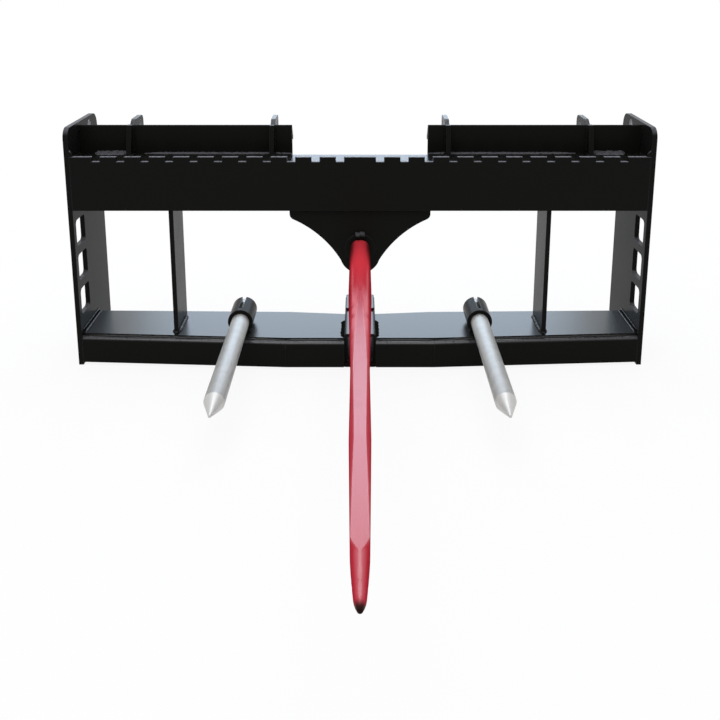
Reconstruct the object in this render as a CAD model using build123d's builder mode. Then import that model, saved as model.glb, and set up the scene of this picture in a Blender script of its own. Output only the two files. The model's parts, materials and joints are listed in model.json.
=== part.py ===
"""Bale spear for a loader: a welded plate frame that carries one long spear and two short stabilisers.

Millimetres, +Z up, spears pointing along -Y. The origin is the middle of the whole footprint at the height of
the feet. The sketch planes measure their Y from the frame's front face.
"""
import math
import os

from build123d import *

# Whole frame
frame_width = 1150.0
side_thickness = 9.5
inner_x = frame_width / 2 - side_thickness
plate_thickness = 9.5
hole_clearance = 0.5

# Side plates
side_depth = 222.0
side_height = 490.0
side_front_radius = 22.0
side_rear_radius = 26.0
side_rear_setback = 18.0
side_rear_slope_drop = 90.0
side_heel_setback = 32.0
side_heel_z = 34.0
window_count = 3
window_depth = 58.0
window_height = 54.0
window_radius = 9.0
window_pitch = 72.0
window_y = 44.0
window_middle_z = 202.0
lug_hole_diameter = 22.0
lug_hole_setback = 27.0
lug_hole_drop = 19.0

# Upper front plate with its comb of notches
front_height = 108.0
front_drop = 56.0
notch_width = 16.0
notch_depth = 9.5
notch_pitch = 47.5
notch_first_x = 39.0
notch_count = 11

# Shelf and hooks
shelf_thickness = 8.0
hook_thickness = 8.0
hook_setback = 140.0
hook_height = 157.0
hook_drop = 3.0
hook_bend_radius = 3.0
hook_lip_length = 46.0
hook_lip_angle = 45.0
hook_inner_x = 137.0
shelf_centre_relief = 12.0

# Hook lugs
lug_thickness = 9.0
lug_outer_inset = 103.0
lug_inner_inset = 40.0
lug_rear_setback = 44.0
lug_rise = 3.0
lug_radius = 14.0
lug_front_setback = 10.0
lug_front_run = 20.0

# Gussets between the shelf and the hooks
gusset_thickness = 9.0
gusset_foot_depth = 30.0
gusset_top_depth = 12.0
gusset_top_drop = 3.0

# Hub plates
hub_half_width = 139.5
hub_thickness = 12.0
hub_ear_drop = 17.0
hub_ear_radius = 12.0
hub_waist_x = 72.0
hub_waist_rise = 19.5
hub_neck_x = 38.3
hub_neck_drop = 23.5
hub_nose_drop = 51.5
hub_rear_half_width = 108.0
hub_rear_thickness = 10.0

# Main spear and its bushing
spear_drop = 81.0
spear_root_diameter = 40.0
spear_round_length = 235.0
spear_taper_length = 325.0
spear_belly_length = 205.0
spear_shoulder_length = 198.0
spear_nose_length = 95.0
spear_waist_radius = 16.8
spear_nose_radius = 14.2
spear_grind_length = 17.0
spear_grind_radius = 10.2
spear_ogive_length = 32.0
spear_ogive_radius = 8.6
spear_point_length = 15.0
spear_point_radius = 6.4
spear_tip_radius = 2.6
spear_flat_margin = 0.6
spear_flat_waist = 13.6
spear_flat_nose = 10.2
spear_flat_nose_length = 5.0
spear_flat_tip = 7.0
shank_diameter = 37.0
stud_diameter = 30.0
stud_past_nut = 10.0
bushing_diameter = 60.0
bushing_proud = 2.5
bushing_rear = 12.0
bushing_clearance = 0.4
spear_washer_diameter = 62.0
spear_washer_thickness = 6.0
spear_nut_flats = 46.0
spear_nut_height = 24.0

# Lower beam
beam_bottom_z = 6.0
beam_top_z = 65.0
beam_cover_thickness = 5.0
beam_plate = 8.0
beam_inner_radius = 1.0
beam_flange_depth = 46.0
beam_bow = 26.0
beam_bend_x = 150.0
cover_setback = 11.0
cover_rear_y = 136.0
cover_rear_bend_y = 127.0
cover_rear_centre_y = 115.0
latch_web_y = 98.0
latch_flange_y = 192.0
latch_bend_radius = 12.0
latch_flange_z = 8.0
latch_slot_inset = 102.5
latch_slot_setback = 30.0
latch_slot_length = 83.0
latch_slot_width = 29.0

# Upright ribs
upright_thickness = 9.0
upright_inset = 191.0
upright_depth = 98.0

# Receiver tube
receiver_size = 64.0
receiver_wall = 6.0
receiver_radius = 6.0
receiver_rise = 8.0
receiver_front_y = -15.0
receiver_rear_y = 204.0
strap_width = 61.0
strap_thickness = 4.0
strap_front_y = 119.0
strap_radius = 8.0

# Stabilisers and their sockets
socket_x = 243.0
socket_diameter = 50.8
socket_bore = 30.6
socket_front_y = 6.0
socket_length = 78.0
socket_slot_width = 8.0
socket_bridge = 12.0
rod_diameter = 36.0
rod_length = 403.0
rod_point_length = 50.0
rod_tip_radius = 2.5
shank_clearance = 0.4
shank_tail = 18.0
tail_pin_diameter = 8.0
tail_pin_length = 46.0
tail_pin_gap = 0.3

os.makedirs("parts", exist_ok=True)

front_top_z = side_height - front_drop
front_bottom_z = front_top_z - front_height
hook_front_y = side_depth - hook_setback
hook_top_z = side_height - hook_drop
hook_bottom_z = hook_top_z - hook_height
spear_z = front_bottom_z - spear_drop
shelf_top_z = front_top_z - notch_depth
shelf_bottom_z = shelf_top_z - shelf_thickness
beam_flange_z = beam_top_z - beam_cover_thickness
receiver_top_z = beam_top_z + receiver_rise
receiver_side_x = receiver_size / 2
receiver_bore = receiver_size - 2 * receiver_wall
beam_bend_radius = beam_plate + beam_inner_radius
latch_slot_y = latch_flange_y - latch_slot_setback
latch_slot_x = inner_x - latch_slot_inset
upright_x = inner_x - upright_inset
lug_outer_x = inner_x - lug_outer_inset
lug_inner_x = hook_inner_x + lug_inner_inset
lug_front_y = hook_front_y + lug_front_setback
lug_shoulder_y = lug_front_y + lug_front_run
lug_rear_y = side_depth - lug_rear_setback
lug_top_z = hook_top_z + lug_rise
lug_hole_y = lug_rear_y - lug_hole_setback
lug_hole_z = lug_top_z - lug_hole_drop
socket_slot_length = socket_length - socket_bridge
rod_z = beam_top_z + socket_diameter / 2
socket_rear_y = socket_front_y + socket_length
hub_front_y = plate_thickness
hub_rear_y = hook_front_y - shelf_centre_relief
bushing_front_y = hub_front_y - bushing_proud
bushing_rear_y = hub_rear_y + bushing_rear
hub_ear_z = front_bottom_z - hub_ear_drop
hub_waist_z = spear_z + hub_waist_rise
hub_neck_z = spear_z - hub_neck_drop
hub_nose_z = spear_z - hub_nose_drop
spear_waist_station = spear_round_length + spear_taper_length
spear_belly_station = spear_waist_station + spear_belly_length
spear_nose_station = spear_belly_station + spear_shoulder_length
spear_grind_station = spear_nose_station + spear_grind_length
spear_ogive_station = spear_grind_station + spear_ogive_length
spear_flat_nose_station = spear_nose_station + spear_flat_nose_length
spear_length = spear_nose_station + spear_nose_length
spear_point_station = spear_length - spear_point_length
spear_flat_tip_station = 2 * spear_length - spear_flat_nose_station
front_face_y = (spear_length - side_depth) / 2
SIDES = {"left": -1, "right": 1}


def save(part, name):
    """Label a finished piece and write its STEP file."""
    part.label = name
    export_step(part, f"parts/{name}.step")


def yz_plane(x):
    """Plane across the frame at one X, with local x along +Y and local y along +Z."""
    return Plane(origin=(x, front_face_y, 0), x_dir=(0, 1, 0), z_dir=(1, 0, 0))


def xz_plane(y):
    """Plane parallel to the front face at one Y, with local x along +X and local y along +Z."""
    return Plane(origin=(0, front_face_y + y, 0), x_dir=(1, 0, 0), z_dir=(0, -1, 0))


def xy_plane(z):
    """Level plane at one height, with local x along +X and local y along +Y."""
    return Plane(origin=(0, front_face_y, z), x_dir=(1, 0, 0), z_dir=(0, 0, 1))


def side_plate(side):
    """Side plate: rounded top, stepped heel, three hand windows and a lug hole."""
    start_x = inner_x if side > 0 else -frame_width / 2
    with BuildPart() as plate:
        with BuildSketch(yz_plane(start_x)) as outline:
            with BuildLine():
                Polyline(
                    (0, 0),
                    (side_depth - side_heel_setback, 0),
                    (side_depth, side_heel_z),
                    (side_depth, side_height - side_rear_slope_drop),
                    (side_depth - side_rear_setback, side_height),
                    (0, side_height),
                    close=True,
                )
            make_face()
            top_corners = outline.vertices().group_by(Axis.Y)[-1].sort_by(Axis.X)
            fillet(top_corners[0], side_front_radius)
            fillet(outline.vertices().group_by(Axis.Y)[-1].sort_by(Axis.X)[-1], side_rear_radius)
            with Locations((window_y, window_middle_z)):
                with GridLocations(1, window_pitch, 1, window_count):
                    RectangleRounded(window_depth, window_height, window_radius, mode=Mode.SUBTRACT)
            with Locations((lug_hole_y, lug_hole_z)):
                Circle(lug_hole_diameter / 2, mode=Mode.SUBTRACT)
        extrude(amount=side_thickness)
    return plate.part


for side_name, side in SIDES.items():
    save(side_plate(side), f"side_plate_{side_name}")

# Upper front plate, with the comb of notches along its top edge
with BuildPart() as front_plate:
    with BuildSketch(xz_plane(0)):
        with Locations((0, front_bottom_z)):
            Rectangle(2 * inner_x, front_top_z - front_bottom_z, align=(Align.CENTER, Align.MIN))
        for side in SIDES.values():
            for index in range(notch_count):
                with Locations((side * (notch_first_x + index * notch_pitch), front_top_z)):
                    Rectangle(notch_width, 2 * notch_depth, mode=Mode.SUBTRACT)
    extrude(amount=-plate_thickness)
save(front_plate.part, "upper_front_plate")

# Shelf behind the front plate, cut back between the two hooks
with BuildPart() as shelf:
    with BuildSketch(xy_plane(shelf_bottom_z)):
        with Locations((0, plate_thickness)):
            Rectangle(2 * inner_x, hook_front_y - plate_thickness, align=(Align.CENTER, Align.MIN))
        with Locations((0, hook_front_y)):
            Rectangle(2 * hook_inner_x, 2 * shelf_centre_relief, mode=Mode.SUBTRACT)
    extrude(amount=shelf_thickness)
save(shelf.part, "shelf_plate")

# Hook profile: upright leg, sharp top edge and a lip that slopes down and back
lip_slope = math.radians(hook_lip_angle)
lip_end_y = hook_front_y + hook_lip_length * math.cos(lip_slope)
lip_end_z = hook_top_z - hook_lip_length * math.sin(lip_slope)
lug_front_z = hook_top_z - (lug_front_y - hook_front_y) * math.tan(lip_slope)


def hook_plate(side):
    """Hook that the loader's top edge sits under."""
    start_x = hook_inner_x if side > 0 else -inner_x
    with BuildPart() as hook:
        with BuildSketch(yz_plane(start_x)) as profile:
            with BuildLine():
                Polyline(
                    (hook_front_y, hook_bottom_z),
                    (hook_front_y, hook_top_z),
                    (lip_end_y, lip_end_z),
                )
                offset(amount=hook_thickness, side=Side.RIGHT)
            make_face()
            fillet(profile.vertices().group_by(Axis.Y)[-1], hook_bend_radius)
        extrude(amount=inner_x - hook_inner_x)
    return hook.part


def hook_lug(centre_x):
    """Lug that stands on the sloping lip, with a hole in line with the side plate's."""
    with BuildPart() as lug:
        with BuildSketch(yz_plane(centre_x - lug_thickness / 2)) as outline:
            with BuildLine():
                Polyline(
                    (lug_front_y, lug_front_z),
                    (lip_end_y, lip_end_z),
                    (lug_rear_y, lip_end_z),
                    (lug_rear_y, lug_top_z),
                    (lug_shoulder_y, lug_top_z),
                    close=True,
                )
            make_face()
            fillet(outline.vertices().group_by(Axis.Y)[-1], lug_radius)
            rear_foot = outline.vertices().group_by(Axis.Y)[0].sort_by(Axis.X)[-1]
            fillet(rear_foot, lug_radius)
            with Locations((lug_hole_y, lug_hole_z)):
                Circle(lug_hole_diameter / 2, mode=Mode.SUBTRACT)
        extrude(amount=lug_thickness)
    return lug.part


def hook_gusset(centre_x):
    """Gusset that stands on the shelf and stiffens the front of a hook, in line with its lug."""
    gusset_top_z = hook_top_z - gusset_top_drop
    with BuildPart() as gusset:
        with BuildSketch(yz_plane(centre_x - gusset_thickness / 2)):
            with BuildLine():
                Polyline(
                    (hook_front_y - gusset_foot_depth, shelf_top_z),
                    (hook_front_y, shelf_top_z),
                    (hook_front_y, gusset_top_z),
                    (hook_front_y - gusset_top_depth, gusset_top_z),
                    close=True,
                )
            make_face()
        extrude(amount=gusset_thickness)
    return gusset.part


for side_name, side in SIDES.items():
    save(hook_plate(side), f"hook_plate_{side_name}")
    save(hook_lug(side * lug_outer_x), f"outer_hook_lug_{side_name}")
    save(hook_lug(side * lug_inner_x), f"inner_hook_lug_{side_name}")
    save(hook_gusset(side * lug_outer_x), f"outer_hook_gusset_{side_name}")
    save(hook_gusset(side * lug_inner_x), f"inner_hook_gusset_{side_name}")

# Hub plate: wide at the top, necked down to a rounded nose round the spear
with BuildPart() as hub:
    with BuildSketch(xz_plane(hub_front_y)) as hub_outline:
        with BuildLine():
            Line((-hub_half_width, shelf_bottom_z), (hub_half_width, shelf_bottom_z))
            for side in SIDES.values():
                Line((side * hub_half_width, shelf_bottom_z), (side * hub_half_width, hub_ear_z))
                ThreePointArc(
                    (side * hub_half_width, hub_ear_z),
                    (side * hub_waist_x, hub_waist_z),
                    (side * hub_neck_x, hub_neck_z),
                )
            ThreePointArc((-hub_neck_x, hub_neck_z), (0, hub_nose_z), (hub_neck_x, hub_neck_z))
        make_face()
        ears = [v for v in hub_outline.vertices() if abs(v.Y - hub_ear_z) < 1]
        fillet(ears, hub_ear_radius)
        with Locations((0, spear_z)):
            Circle(bushing_diameter / 2, mode=Mode.SUBTRACT)
    extrude(amount=-hub_thickness)
save(hub.part, "hub_plate")

# Rear hub plate, which carries the back end of the bushing
with BuildPart() as hub_rear:
    with BuildSketch(xz_plane(hub_rear_y)):
        with BuildLine():
            Line((-hub_rear_half_width, shelf_bottom_z), (hub_rear_half_width, shelf_bottom_z))
            Line((hub_rear_half_width, shelf_bottom_z), (hub_neck_x, hub_neck_z))
            ThreePointArc((hub_neck_x, hub_neck_z), (0, hub_nose_z), (-hub_neck_x, hub_neck_z))
            Line((-hub_neck_x, hub_neck_z), (-hub_rear_half_width, shelf_bottom_z))
        make_face()
        with Locations((0, spear_z)):
            Circle(bushing_diameter / 2, mode=Mode.SUBTRACT)
    extrude(amount=hub_rear_thickness)
save(hub_rear.part, "hub_rear_plate")

spear_axis = Axis((0, 0, spear_z), (0, 1, 0))
root_radius = spear_root_diameter / 2
shank_radius = shank_diameter / 2

# Bushing: sleeve welded through both hub plates
with BuildPart() as bushing:
    with BuildSketch(xz_plane(bushing_front_y)):
        with Locations((0, spear_z)):
            Circle(bushing_diameter / 2)
            Circle(shank_radius + bushing_clearance, mode=Mode.SUBTRACT)
    extrude(amount=bushing_front_y - bushing_rear_y)
save(bushing.part, "spear_bushing")

# Main spear: round root, four flats along the middle, ogive point, shouldered shank and threaded stud
stud_end_y = bushing_rear_y + spear_washer_thickness + spear_nut_height + stud_past_nut
with BuildPart() as main_spear:
    with BuildSketch(yz_plane(0)):
        with BuildLine():
            Line((stud_end_y, spear_z), (stud_end_y, spear_z + stud_diameter / 2))
            Polyline(
                (stud_end_y, spear_z + stud_diameter / 2),
                (bushing_rear_y, spear_z + stud_diameter / 2),
                (bushing_rear_y, spear_z + shank_radius),
                (bushing_front_y, spear_z + shank_radius),
                (bushing_front_y, spear_z + root_radius),
                (-spear_round_length, spear_z + root_radius),
                (-spear_waist_station, spear_z + spear_waist_radius),
                (-spear_nose_station, spear_z + spear_nose_radius),
                (-spear_grind_station, spear_z + spear_grind_radius),
            )
            ogive = ThreePointArc(
                (-spear_grind_station, spear_z + spear_grind_radius),
                (-spear_ogive_station, spear_z + spear_ogive_radius),
                (-spear_point_station, spear_z + spear_point_radius),
            )
            TangentArc(ogive @ 1, (-spear_length, spear_z + spear_tip_radius), tangent=ogive % 1)
            Line((-spear_length, spear_z + spear_tip_radius), (-spear_length, spear_z))
            Line((-spear_length, spear_z), (stud_end_y, spear_z))
        make_face()
    revolve(axis=spear_axis)
    flat_stations = (
        (stud_end_y + stud_past_nut, spear_root_diameter),
        (-spear_round_length, root_radius + spear_flat_margin),
        (-spear_waist_station, spear_flat_waist),
        (-spear_belly_station, spear_flat_waist),
        (-spear_flat_nose_station, spear_flat_nose),
        (-spear_flat_tip_station, spear_flat_tip),
    )
    for station_y, half_flat in flat_stations:
        with BuildSketch(xz_plane(station_y)):
            with Locations((0, spear_z)):
                Rectangle(2 * half_flat, 2 * half_flat)
    loft(ruled=True, mode=Mode.INTERSECT)
save(main_spear.part, "main_spear")

# Washer and nut that draw the shank into the bushing
with BuildPart() as spear_washer:
    with BuildSketch(xz_plane(bushing_rear_y)):
        with Locations((0, spear_z)):
            Circle(spear_washer_diameter / 2)
            Circle(stud_diameter / 2 + hole_clearance, mode=Mode.SUBTRACT)
    extrude(amount=-spear_washer_thickness)
save(spear_washer.part, "spear_washer")

with BuildPart() as spear_nut:
    with BuildSketch(xz_plane(bushing_rear_y + spear_washer_thickness)):
        with Locations((0, spear_z)):
            RegularPolygon(spear_nut_flats / 2, 6, major_radius=False)
            Circle(stud_diameter / 2 + hole_clearance, mode=Mode.SUBTRACT)
    extrude(amount=-spear_nut_height)
save(spear_nut.part, "spear_nut")


def beam_profile(front_y):
    """Sketch lines of the bent front plate: face, bend and top flange, as one closed outline."""
    bend_z = beam_flange_z - beam_bend_radius
    Line((front_y, beam_bottom_z), (front_y, bend_z))
    bend = CenterArc((front_y + beam_bend_radius, bend_z), beam_bend_radius, 180, -90)
    Line(bend @ 1, (front_y + beam_flange_depth, beam_flange_z))
    offset(amount=beam_plate, side=Side.RIGHT)


wing_run = inner_x - beam_bend_x
wing_length = math.hypot(wing_run, beam_bow)
cover_front_y = cover_setback - beam_bow

for side_name, side in SIDES.items():
    # Middle length of the bent front plate, from the receiver to the bend
    with BuildPart() as beam_centre:
        with BuildSketch(yz_plane(side * receiver_side_x)):
            with BuildLine():
                beam_profile(-beam_bow)
            make_face()
        extrude(amount=side * (beam_bend_x - receiver_side_x))
    save(beam_centre.part, f"beam_front_centre_{side_name}")

    # Outer length, swept back to the side plate
    with BuildPart() as beam_wing:
        with BuildSketch(yz_plane(side * beam_bend_x)):
            with BuildLine():
                beam_profile(-beam_bow)
            make_face()
        extrude(amount=wing_length, dir=(side * wing_run, beam_bow, 0))
    save(beam_wing.part, f"beam_front_wing_{side_name}")

    # Cover plate on top of the beam
    with BuildPart() as cover:
        with BuildSketch(xy_plane(beam_flange_z)):
            with BuildLine():
                Polyline(
                    (side * receiver_side_x, cover_front_y),
                    (side * beam_bend_x, cover_front_y),
                    (side * inner_x, cover_setback),
                    (side * inner_x, cover_rear_y),
                    (side * beam_bend_x, cover_rear_bend_y),
                    (side * receiver_side_x, cover_rear_centre_y),
                    close=True,
                )
            make_face()
        extrude(amount=beam_cover_thickness)
    save(cover.part, f"beam_cover_{side_name}")

    # Latch plate: web under the cover and a flange with the slot for the loader's locking pin
    with BuildPart() as latch:
        with BuildSketch(yz_plane(side * receiver_side_x)):
            with BuildLine():
                FilletPolyline(
                    (latch_web_y, beam_flange_z),
                    (latch_web_y, latch_flange_z),
                    (latch_flange_y, latch_flange_z),
                    radius=latch_bend_radius,
                )
                offset(amount=beam_plate, side=Side.LEFT)
            make_face()
        extrude(amount=side * (inner_x - receiver_side_x))
        with BuildSketch(xy_plane(0)):
            with Locations((side * latch_slot_x, latch_slot_y)):
                SlotOverall(latch_slot_length, latch_slot_width)
        extrude(amount=beam_flange_z, mode=Mode.SUBTRACT)
    save(latch.part, f"latch_plate_{side_name}")

    # Upright rib between the beam and the upper box
    with BuildPart() as upright:
        with BuildSketch(yz_plane(side * upright_x - upright_thickness / 2)):
            with BuildLine():
                Polyline(
                    (plate_thickness, beam_top_z),
                    (plate_thickness + upright_depth, beam_top_z),
                    (plate_thickness + upright_depth, hook_bottom_z),
                    (hook_front_y, hook_bottom_z),
                    (hook_front_y, shelf_bottom_z),
                    (plate_thickness, shelf_bottom_z),
                    close=True,
                )
            make_face()
        extrude(amount=upright_thickness)
    save(upright.part, f"upright_rib_{side_name}")

# Receiver tube through the middle of the beam, with a strap over its rear half
with BuildPart() as receiver:
    with BuildSketch(xz_plane(receiver_front_y)):
        with Locations((0, receiver_top_z - receiver_size / 2)):
            RectangleRounded(receiver_size, receiver_size, receiver_radius)
            Rectangle(receiver_bore, receiver_bore, mode=Mode.SUBTRACT)
    extrude(amount=receiver_front_y - receiver_rear_y)
save(receiver.part, "receiver_tube")

with BuildPart() as strap:
    with BuildSketch(xy_plane(receiver_top_z)) as strap_outline:
        with Locations((0, strap_front_y)):
            Rectangle(strap_width, receiver_rear_y - strap_front_y, align=(Align.CENTER, Align.MIN))
        fillet(strap_outline.vertices().group_by(Axis.Y)[-1], strap_radius)
    extrude(amount=strap_thickness)
save(strap.part, "receiver_strap")

shank_r = socket_bore / 2 - shank_clearance
tail_pin_y = socket_rear_y + tail_pin_gap + tail_pin_diameter / 2
for side_name, side in SIDES.items():
    rod_axis = Axis((side * socket_x, 0, rod_z), (0, 1, 0))

    # Socket: thick tube with a slot along its top, open at the back
    with BuildPart() as socket:
        with BuildSketch(xz_plane(socket_front_y)):
            with Locations((side * socket_x, rod_z)):
                Circle(socket_diameter / 2)
                Circle(socket_bore / 2, mode=Mode.SUBTRACT)
        extrude(amount=-socket_length)
        with BuildSketch(xy_plane(rod_z)):
            with Locations((side * socket_x, socket_rear_y)):
                Rectangle(socket_slot_width, 2 * socket_slot_length)
        extrude(amount=socket_diameter, mode=Mode.SUBTRACT)
    save(socket.part, f"stabiliser_socket_{side_name}")

    # Stabiliser: shouldered rod with a blunt point, drilled at its tail
    rod_tip_y = socket_front_y - rod_length
    with BuildPart() as rod:
        with BuildSketch(yz_plane(side * socket_x)):
            with BuildLine():
                Polyline(
                    (socket_rear_y + shank_tail, rod_z),
                    (socket_rear_y + shank_tail, rod_z + shank_r),
                    (socket_front_y, rod_z + shank_r),
                    (socket_front_y, rod_z + rod_diameter / 2),
                    (rod_tip_y + rod_point_length, rod_z + rod_diameter / 2),
                    (rod_tip_y, rod_z + rod_tip_radius),
                    (rod_tip_y, rod_z),
                    close=True,
                )
            make_face()
        revolve(axis=rod_axis)
        with BuildSketch(yz_plane(side * socket_x)):
            with Locations((tail_pin_y, rod_z)):
                Circle(tail_pin_diameter / 2)
        extrude(amount=rod_diameter, both=True, mode=Mode.SUBTRACT)
    save(rod.part, f"stabiliser_{side_name}")

    # Cross pin behind the socket, which keeps the rod from drawing out
    with BuildPart() as tail_pin:
        with BuildSketch(yz_plane(side * socket_x)):
            with Locations((tail_pin_y, rod_z)):
                Circle(tail_pin_diameter / 2)
        extrude(amount=tail_pin_length / 2, both=True)
    save(tail_pin.part, f"stabiliser_pin_{side_name}")
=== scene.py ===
"""Dresses a loader's bale spear: paint, zinc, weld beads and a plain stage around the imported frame."""
import json
import math
import random
from typing import NamedTuple

import bmesh
import bpy
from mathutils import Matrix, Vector


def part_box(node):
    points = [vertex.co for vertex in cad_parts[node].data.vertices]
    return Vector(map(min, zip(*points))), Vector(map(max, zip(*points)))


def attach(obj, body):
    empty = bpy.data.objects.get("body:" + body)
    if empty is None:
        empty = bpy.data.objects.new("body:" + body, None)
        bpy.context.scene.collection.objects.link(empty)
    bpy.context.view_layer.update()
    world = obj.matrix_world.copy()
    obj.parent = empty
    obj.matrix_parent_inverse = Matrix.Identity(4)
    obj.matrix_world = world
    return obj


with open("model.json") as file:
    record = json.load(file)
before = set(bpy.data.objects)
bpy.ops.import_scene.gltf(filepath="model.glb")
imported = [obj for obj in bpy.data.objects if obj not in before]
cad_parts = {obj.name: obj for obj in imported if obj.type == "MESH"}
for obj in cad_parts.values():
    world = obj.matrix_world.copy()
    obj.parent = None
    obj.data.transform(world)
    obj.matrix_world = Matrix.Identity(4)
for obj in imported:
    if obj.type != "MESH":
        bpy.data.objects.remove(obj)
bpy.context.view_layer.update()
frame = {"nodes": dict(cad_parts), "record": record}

bl_info = {
    "name": "Bale spear finishes",
    "version": (1, 0, 0),
    "blender": (4, 5, 0),
    "location": "View3D > Sidebar > Bale spear",
    "description": "Paint, zinc and weld beads for a loader's bale spear",
    "category": "Object",
}

MM = 0.001
UP = Vector((0, 0, 1))
DOWN = Vector((0, 0, -1))
FORWARD = Vector((0, -1, 0))
BACK = Vector((0, 1, 0))
LEFT = Vector((-1, 0, 0))
RIGHT = Vector((1, 0, 0))
SIDES = {"left": LEFT, "right": RIGHT}

# Nodes that aren't black
RED_NODES = ("main_spear",)
ZINC_NODES = ("stabiliser_left", "stabiliser_right", "stabiliser_pin_left", "stabiliser_pin_right")
HARDWARE_NODES = ("spear_washer", "spear_nut")

# Lamps: their size, their place and what they point at, in metres
SENSOR_WIDTH = 36.0
LAMPS = {
    "back": {"size": (2.5, 2.5), "place": (0, 3.6, 1.75), "aim": (0, 0.3, 0.3), "colour": (0.62, 0.80, 1.0)},
    "sky": {"size": (2.4, 1.8), "place": (0, 1.9, 3.55), "aim": (0, -0.4, 0.3), "colour": (0.86, 0.92, 1.0)},
    "top": {"size": (2.6, 2.6), "place": (-0.3, -0.9, 3.1), "aim": (0, 0.1, 0.1), "colour": (1, 1, 1)},
}
FLOOR_FADE = (0.8, 2.6)
WHITE = (1, 1, 1, 1)

# How steeply a face looks up where a finish sets in, and where it is full
FACING_UP = (0.25, 0.85)
# Where upper faces turn to the lighter paint, which is partly rubbed paint and partly a painted highlight
WORN_AND_LIT_RISE = (0.35, 0.85)
CREST_RISE = (0.955, 0.998)
HIND_TURN = (0.3, 0.8)
OUTWARD_TURN = (0.25, 0.5)

# Black paint by node: its lighter paint and coat are shares of the common lighter paint and coat of upper
# faces; that lighter paint is partly rubbed paint and partly a painted highlight
FRAME_FINISHES = {
    "upper_front_plate": {"name": "comb_black_paint", "wear": 1.5, "coat": 0.1},
    "side_plate": {"name": "side_black_paint", "wear": 0.6, "coat": 0.1, "bored": True},
    "outer_hook_lug": {"name": "outer_lug_black_paint", "wear": 0.6, "coat": 0.2, "bored": True},
    "inner_hook_lug": {"name": "inner_lug_black_paint", "wear": 0.6, "coat": 0.2, "bored": True},
    "beam_cover": {"name": "cover_black_paint", "coat": 1.16, "coat_roughness": 0.28},
    "beam_front": {"name": "bend_black_paint", "wear": 0.35, "coat": 1.6},
    "shelf_plate": {"name": "shelf_black_paint", "wear": 0.7, "coat": 0.4},
    "receiver": {"name": "receiver_black_paint", "coat": 1.0, "coat_rise": CREST_RISE, "softness": 3.0},
}
WELD_FINISHES = {
    "plain": {"name": "weld_black_paint", "coat": 0.4},
    # Seat bead: lighter on top, a painted highlight over the spear's root
    "rubbed": {"name": "hub_weld_paint", "wear": 0.35, "coat": 0.2},
    "dull": {"name": "dull_weld_paint", "shine": 0.0},
    # Toe beads: lighter on top, painted highlights along the toes of the cover's end bead
    "dusty": {"name": "toe_weld_paint", "wear": 1.2, "coat": 0.6},
    # Shelf beads: lighter on top
    "scuffed": {"name": "shelf_weld_paint", "wear": 0.7, "coat": 0.2},
}
COATED_AT_TOP = ("beam_cover", "beam_front", "shelf_plate", "receiver")
TOP_REACH = 20 * MM
# Fade at the ends of the span that keeps the shelf's painted highlight
WEAR_AND_LIGHT_FADE = 6 * MM
EDGE_WEAR = 0.10
BROAD_PEEL_SHARE = 0.6
COAT_ROUGHNESS = 0.14
CLOUD_ROUGHNESS = 0.10
# Extra roughness on the lighter paint, which is partly rubbed and partly a painted highlight
WORN_AND_LIT_ROUGHNESS = 0.2

# Softened edges: their samples, and the product of soft and plain normal on an edge and on a flat face
EDGE_SAMPLES = 4
EDGE_PRODUCT = (0.80, 0.985)

# Noises: their scale and detail, and between which levels one tone gives way to the other
CLOUD = (14.0, 4.0)
SPECK = (210.0, 3.0)
SPECK_BREAK = (0.22, 0.52)
FINE_PEEL = (620.0, 2.0)
BROAD_PEEL = (95.0, 2.0)
FORGED = (1.0, 4.0)
FORGED_BREAK = (0.50, 0.78)
MOTTLE = (46.0, 5.0)
MOTTLE_BREAK = (0.30, 0.70)
RAGGED = (130.0, 4.0)
TURNED = (1.0, 3.0)
BLOOM = (55.0, 5.0)
BLOOM_BREAK = (0.30, 0.72)

# Reliefs: strength and depth of the bump
PEEL_RELIEF = (0.16, 0.6 * MM)
FORGED_RELIEF = (0.14, 0.8 * MM)
TURNED_RELIEF = (0.10, 0.3 * MM)

# Walls of the cross bore through the ears: bare steel in a light grey that is partly a painted highlight
CROSS_BORE = next(mount for mount in frame["record"]["mounts"] if mount["name"] == "cross_bore")
BORE_MARGIN = 0.2 * MM
BORE_EDGE = 0.3 * MM

# Red paint: stretches in metres in front of the spear's root or behind its point
# Stretch before the root where the spear's shoulders carry a painted pink highlight
WAIST_START = (0.56, 0.42)
WAIST_END = (0.34, 0.24)
# Painted light: lighter red over this stretch before the root, lifting the frame's shade there
ROOT_LIFT_STRETCH = (0.36, 0.08)
# Painted shade: stretch before the root where the spear's sides darken under the frame
ROOT_SHADE_STRETCH = (0.16, 0.02)
HANDLED_STRETCH = (0.10, 0.65)
NOSE_BLEND = (0.02, 0.03)
TIP_BLEND = (0.3, 1.6)
TIP_RAGGED = 0.005

# Red paint: how steeply a face looks up where a layer sets in or ends, and how strong the layer is
# Upper corners and shoulders: where their painted highlight sets in and ends
CORNER_START = (0.35, 0.60)
CORNER_END = (0.90, 0.98)
SHOULDER_START = (0.62, 0.86)
SHOULDER_END = (0.95, 0.99)
# Painted shade near the root: where it ends on faces that look up
ROOT_SHADE_END = (0.60, 0.985)
BODY_CROWN = (0.60, 0.95)
NOSE_CROWN = (0.72, 0.98)
THIN_SHARE = 0.55
CORNER_SHARE = 0.7
SHOULDER_SHARE = 0.8
# Strength of the painted shade near the root
ROOT_SHADE_SHARE = 0.85
# Painted shade on faces that don't look up: this share on the nose, full on the body
NOSE_SHADE_SHARE = 0.2
HANDLED_SHARE = 0.2

# Red paint: grain, relief and gloss
SPEAR_SOFTNESS = 3
FORGED_GRAIN = (60.0, 9.0, 60.0)
MOTTLE_HEIGHT = 0.35
THREAD_HEIGHT = 10
MOTTLE_ROUGHNESS = 0.10
BARE_ROUGHNESS = 0.12
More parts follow.
